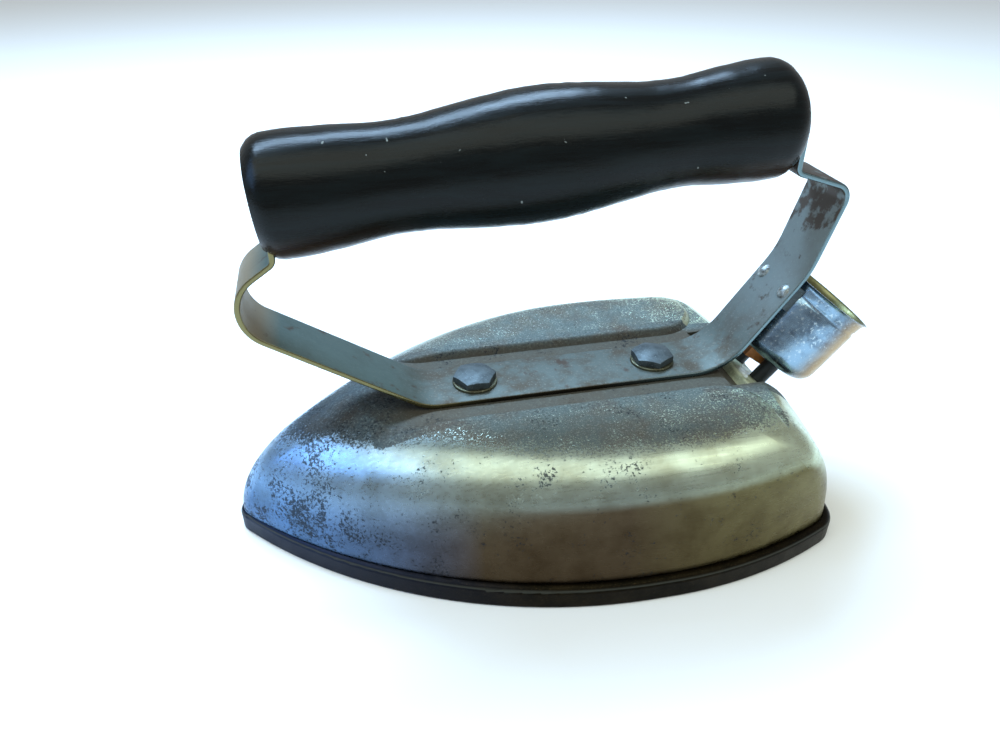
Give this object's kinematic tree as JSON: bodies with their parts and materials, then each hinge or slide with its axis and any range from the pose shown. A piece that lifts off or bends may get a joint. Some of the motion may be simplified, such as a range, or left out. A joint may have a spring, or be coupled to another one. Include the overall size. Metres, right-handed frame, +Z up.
{
  "type": "clothes iron",
  "caption": "Flat electric clothes iron with a boat-shaped sole, a rounded plated cover, a bent strap holding a turned wooden handle, and a round plug cup with contact pins at the heel.",
  "frame": {"origin": "middle of the ironing face: half way along the sole, on its middle line, at the surface that rests on the cloth", "axes": "+X from the toe to the heel, +Y to the right-hand side of somebody looking from the heel to the toe, +Z up from the ironing face to the handle"},
  "size_m": [0.1954, 0.1106, 0.1285],
  "materials": {
    "cast_iron": "polished rim, darkened",
    "nickel_plate": "worn nickel plate",
    "strap_steel": "worn nickelled steel, rust spots",
    "dark_steel": "blued steel, heat darkened",
    "rivet_steel": "bright steel",
    "pin_brass": "brass, dulled",
    "element_wire": "resistance ribbon, oxidised",
    "black_wood": "black lacquer, semi-gloss",
    "mica": "clear to amber sheet",
    "millboard": "matt board",
    "fibre": "vulcanised fibre, satin",
    "black_sleeve": "matt",
    "porcelain": "unglazed edge, satin",
    "disc_black": "moulded, matt"
  },
  "bodies": {
    "root": {"sole_plate": "cast_iron", "lower_mica": "mica", "element_card": "mica", "heating_ribbon": "element_wire", "return_strip": "element_wire", "lead_strips": "pin_brass", "upper_mica": "mica", "pressure_plate": "cast_iron", "plate_screws": "dark_steel", "heat_shield": "millboard", "cover": "nickel_plate", "handle_strap": "strap_steel", "strap_bolts": "dark_steel", "bolt_washers": "dark_steel", "handle": "black_wood", "handle_pins": "dark_steel", "plug_cup": "nickel_plate", "cup_saddle": "strap_steel", "cup_rivets": "rivet_steel", "contact_pins": "pin_brass", "pin_disc": "disc_black", "fibre_block": "fibre", "pin_sleeves": "black_sleeve", "terminal_plate": "porcelain", "stem_nuts": "pin_brass"}
  },
  "joints": []
}
